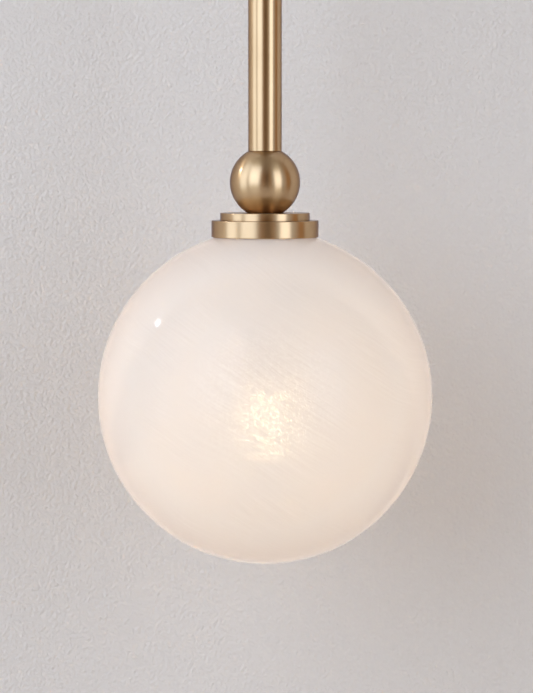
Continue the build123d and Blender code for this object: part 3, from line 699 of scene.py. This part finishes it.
# ------------------------------------------------------------------ lampholder and lamp cap
flute_low, flute_high = holder_foot + BARREL_LIP, barrel_head - BARREL_BROW
barrel_profile = [(0, holder_ceiling), (well_radius, holder_ceiling), (well_radius, holder_foot),
                  (holder_radius, holder_foot), (holder_radius, flute_low),
                  (holder_radius, flute_low + GRIP_FADE), (holder_radius, flute_high - GRIP_FADE),
                  (holder_radius, flute_high), (holder_radius, barrel_head),
                  (CHAMBER_RADIUS, barrel_head), (CHAMBER_RADIUS, holder_floor), (0, holder_floor)]
barrel = turned_mesh(
    eased(barrel_profile, [0, 0.2, 0.4, 0.5, 0, 0, 0, 0, 0.3, 0.2, 0.3, 0]), on_stem, closed=False,
    segments=8 * GRIP_RIBS,
    ripple=fluted(holder_radius, flute_low, flute_high, GRIP_RIBS, GRIP_DEPTH))
fit(new_piece("moulded_holder_barrel", *barrel, [phenolic]), "fixture", "black_moulding",
    "holder_barrel")

groove = barrel_head + GROOVE_RISE
holder_cap_profile = [
    (holder_radius, barrel_head), (holder_radius, groove - GROOVE_DEPTH),
    (holder_radius - GROOVE_DEPTH, groove), (holder_radius, groove + GROOVE_DEPTH),
    (holder_radius, cap_head), (TAPPED_RADIUS, cap_head),
    (TAPPED_RADIUS, cap_head - HOLDER_CAP_BOSS),
    (holder_radius - HOLDER_CAP_WALL, cap_head - HOLDER_CAP_BOSS),
    (holder_radius - HOLDER_CAP_WALL, barrel_head)]
holder_cap = turned_mesh(
    eased(holder_cap_profile, [0.3, 0.15, 0.2, 0.15, 2.5, 0.2, 0.2, 0.8, 0.2]), on_stem,
    segments=160)
fit(new_piece("moulded_holder_cap", *holder_cap, [phenolic]), "fixture", "black_moulding",
    "holder_cap")

lamp_core = lamp_cap_radius - THREAD_DEPTH
lamp_bore = lamp_core - LAMP_CAP_WALL
lamp_thread = (lamp_rim + LAMP_CAP_RIM, lamp_cap_head - LAMP_CAP_RIM, LAMP_PITCH)
lamp_rows = levels(*lamp_thread)
lamp_cap_profile = [(lamp_bore, lamp_rim), (lamp_core, lamp_rim),
                    *[(lamp_core, level) for level in lamp_rows],
                    (lamp_core, lamp_cap_head), (lamp_bore, lamp_cap_head),
                    *[(lamp_bore, level) for level in reversed(lamp_rows)]]
screw_cap = turned_mesh(
    lamp_cap_profile, on_stem, segments=128,
    ripple=threaded([lamp_core, lamp_bore], *lamp_thread, THREAD_DEPTH))
fit(new_piece("rolled_lamp_cap", *screw_cap, [nickel]), "lamp", "nickel_shell", "lamp_cap")

# ------------------------------------------------------------------ floor, wall and light
def front_only(tree, surface):
    """Lets only a sheet's front be seen, so that nothing hides the object from behind it."""
    clear = add(tree, "ShaderNodeBsdfTransparent")
    side = add(tree, "ShaderNodeNewGeometry").outputs["Backfacing"]
    return add(tree, "ShaderNodeMixShader", {0: side, 1: surface.outputs[0],
                                             2: clear.outputs[0]}).outputs[0]


def matt_paint(name, code, grain, depth):
    """Emulsion paint on a rough ground: matt, with the ground's relief in it."""
    def shader(tree):
        place = add(tree, "ShaderNodeTexCoord").outputs["Object"]
        noise = add(tree, "ShaderNodeTexNoise",
                    {"Vector": place, "Scale": per_metre(grain), "Detail": 3.0}).outputs["Fac"]
        bump = add(tree, "ShaderNodeBump", {"Height": noise, "Strength": 0.5,
                                            "Distance": depth * MM})
        paint = add(tree, "ShaderNodeBsdfPrincipled",
                    {"Base Color": linear(code), "Roughness": 0.9, "Specular IOR Level": 0.2,
                     "Normal": bump.outputs["Normal"]})
        return front_only(tree, paint)
    return finish(name, shader)


def stage_sheet(name, corners, material):
    """A flat sheet of the stage. Its corners, in metres, run so that it faces the object."""
    mesh = bpy.data.meshes.new(name)
    mesh.from_pydata(corners, [], [(0, 1, 2, 3)])
    mesh.materials.append(material)
    sheet = bpy.data.objects.new(name, mesh)
    bpy.context.scene.collection.objects.link(sheet)
    return sheet


def backdrop_paper():
    """Pale paper, evenly bright from its own emission."""
    def shader(tree):
        return front_only(tree, add(tree, "ShaderNodeEmission", {"Color": linear("CBC7C4")}))
    return finish("pale_backdrop_paper", shader)


# The stage, in metres: its wall stands just behind the canopy
WALL = 0.0005
FRONT = -4
SIDE = 3
FLOOR = -1.0
CEILING = 2.5


def upright_sheet(name, first, last, material):
    """A sheet from the floor to the ceiling between two (across, out) places."""
    return stage_sheet(name, [(*first, FLOOR), (*last, FLOOR), (*last, CEILING),
                              (*first, CEILING)], material)


# Each paint has its grain and the depth of its relief in millimetres, both matched
wall_paint = matt_paint("rough_plaster_wall", "E2D8CD", 2.2, 3.2)
floor_paint = matt_paint("matt_floor_paint", "E2D8CD", 20, 0.2)
wall = upright_sheet("stage_wall", (-SIDE, WALL), (SIDE, WALL), wall_paint)
wall.visible_shadow = False  # so that the lamps behind it reach the side that faces the wall
stage_sheet("stage_floor", [(-SIDE, FRONT, FLOOR), (SIDE, FRONT, FLOOR), (SIDE, WALL, FLOOR),
                            (-SIDE, WALL, FLOOR)], floor_paint)
paper = backdrop_paper()
for name, first, last in (("stage_backdrop_front", (SIDE, FRONT), (-SIDE, FRONT)),
                          ("stage_backdrop_left", (-SIDE, FRONT), (-SIDE, WALL)),
                          ("stage_backdrop_right", (SIDE, WALL), (SIDE, FRONT))):
    sheet = upright_sheet(name, first, last, paper)
    sheet.visible_diffuse = False
    sheet.visible_glossy = False
    sheet.visible_shadow = False


def softbox(name, azimuth, elevation, distance, width, height, watts, code, edge=0.3,
            spread=180, level=ball_level, reach=stem_y):
    """A soft-edged rectangular lamp that faces a point of the fixture's middle plane. Azimuth 0
    is the camera's side and left is minus. The edge is the share of its width over which it
    fades, and the spread is its beam in degrees."""
    data = bpy.data.lights.new(name, "AREA")
    data.shape = "RECTANGLE"
    data.size = width
    data.size_y = height
    data.energy = watts
    data.color = linear(code)[:3]
    data.spread = radians(spread)
    data.use_nodes = True
    tree = data.node_tree
    tree.nodes.clear()
    place = add(tree, "ShaderNodeNewGeometry").outputs["Parametric"]
    centred = add(tree, "ShaderNodeVectorMath", {0: place, 1: (0.5, 0.5, 0)}, operation="SUBTRACT")
    distances = add(tree, "ShaderNodeVectorMath", {0: centred.outputs[0]}, operation="ABSOLUTE")
    sides = add(tree, "ShaderNodeSeparateXYZ", {"Vector": distances.outputs[0]})
    fades = [add(tree, "ShaderNodeMapRange",
                 {"Value": sides.outputs[side], "From Min": 0.5, "From Max": 0.5 - edge},
                 interpolation_type="SMOOTHSTEP").outputs["Result"] for side in "XY"]
    strength = add(tree, "ShaderNodeMath", {0: fades[0], 1: fades[1]}, operation="MULTIPLY")
    emission = add(tree, "ShaderNodeEmission", {"Strength": strength.outputs[0]})
    add(tree, "ShaderNodeOutputLight", {"Surface": emission.outputs[0]})
    lamp = bpy.data.objects.new(name, data)
    bpy.context.scene.collection.objects.link(lamp)
    direction = Vector((cos(radians(elevation)) * sin(radians(azimuth)),
                        -cos(radians(elevation)) * cos(radians(azimuth)),
                        sin(radians(elevation))))
    target = Vector((0, reach, level)) * MM
    lamp.location = target + direction * distance
    lamp.rotation_euler = (-direction).to_track_quat("-Z", "Y").to_euler()
    lamp.visible_camera = False


# Three tall windows give the brass its bands and a small one gives the globe's highlight.
# The last two are behind the wall and light the side of the fixture that faces it.
softbox("window_left", -36, 22, 2.2, 1.8, 3.2, 40, "D2E5FF", edge=0.25)
softbox("window_strip", -76, 16, 2.2, 1.3, 4.0, 22, "D2E5FF", edge=0.2)
softbox("window_right", 44, 10, 2.2, 1.1, 2.4, 20, "DAE9FF", edge=0.15)
softbox("window_glint", -101, 26, 0.8, 0.14, 0.05, 0.022, "F4F7FF", edge=0.1, spread=32)
softbox("back_light", 180, 12, 2.4, 2.0, 2.0, 14, "FFFFFF")
softbox("canopy_light", 180, 15, 0.9, 0.3, 0.3, 0.2, "FFFFFF", spread=30, level=0, reach=0)

# The lamp's own light, which the thin clear glass round the filaments lets out
glow_data = bpy.data.lights.new("lamp_glow", "POINT")
glow_data.energy = 0.45
glow_data.shadow_soft_size = 0.015
glow_data.color = linear("FFF0E2")[:3]
glow_data.use_nodes = True
lamp_tree = glow_data.node_tree
lamp_tree.nodes.clear()
upright = add(lamp_tree, "ShaderNodeSeparateXYZ",
              {"Vector": add(lamp_tree, "ShaderNodeNewGeometry").outputs["Normal"]})
lengthwise = add(lamp_tree, "ShaderNodeMath", {0: upright.outputs["Z"]}, operation="ABSOLUTE")
sideways = add(lamp_tree, "ShaderNodeMapRange",  # upright filaments shine less lengthwise
               {"Value": lengthwise.outputs[0], "From Min": 0.3, "From Max": 1.0,
                "To Min": 1.0, "To Max": 0.55})
shining = add(lamp_tree, "ShaderNodeEmission", {"Strength": sideways.outputs[0]})
add(lamp_tree, "ShaderNodeOutputLight", {"Surface": shining.outputs[0]})
glow = bpy.data.objects.new("lamp_glow", glow_data)
bpy.context.scene.collection.objects.link(glow)
glow.location = Vector((0, stem_y, (filament_foot + filament_head) / 2)) * MM
glow.visible_camera = False
glow.visible_transmission = False

world = bpy.data.worlds.new("studio")
bpy.context.scene.world = world
world.use_nodes = True
studio = world.node_tree
studio.nodes.clear()
direction = add(studio, "ShaderNodeTexCoord").outputs["Generated"]
toward = add(studio, "ShaderNodeSeparateXYZ", {"Vector": direction})
ahead = add(studio, "ShaderNodeMath", {0: toward.outputs["Y"], 1: -1.0}, operation="MULTIPLY")
bearing = add(studio, "ShaderNodeMath", {0: toward.outputs["X"], 1: ahead.outputs[0]},
              operation="ARCTAN2")
turn = add(studio, "ShaderNodeMapRange", {"Value": bearing.outputs[0], "From Min": -pi,
                                          "From Max": pi, "To Min": 0.0, "To Max": 1.0})
# The room's walls by bearing in degrees from the camera's side, left minus
ROOM = [(-180, "6A6662"), (-114, "6E5C48"), (-101, "D4E0F0"), (-70, "E4EEFC"), (-20, "CED8E8"),
        (-9, "8A6A4C"), (8, "3A2414"), (19, "A0866A"), (28, "BEC8D6"), (65, "B8BEC8"),
        (80, "A27E56"), (100, "967252"), (114, "6E5C48"), (180, "6A6662")]
walls = add(studio, "ShaderNodeValToRGB", {"Fac": turn.outputs[0]},
            stops=[((angle + 180) / 360, code) for angle, code in ROOM])
WALLS_END, CEILING_STARTS = 22, 60  # degrees up; one fades into the other between them
overhead = add(studio, "ShaderNodeMapRange",
               {"Value": toward.outputs["Z"], "From Min": sin(radians(WALLS_END)),
                "From Max": sin(radians(CEILING_STARTS)), "To Min": 0.0, "To Max": 1.0})
with_ceiling = add(studio, "ShaderNodeMix",  # sockets 6 and 7 are the two colours
                   {0: overhead.outputs[0], 6: walls.outputs["Color"], 7: linear("8E8A86")},
                   data_type="RGBA")
surround = add(studio, "ShaderNodeBackground",
               {"Color": with_ceiling.outputs[2], "Strength": 1.15})
add(studio, "ShaderNodeOutputWorld", {"Surface": surround.outputs[0]})

bpy.context.scene.view_settings.view_transform = "Standard"
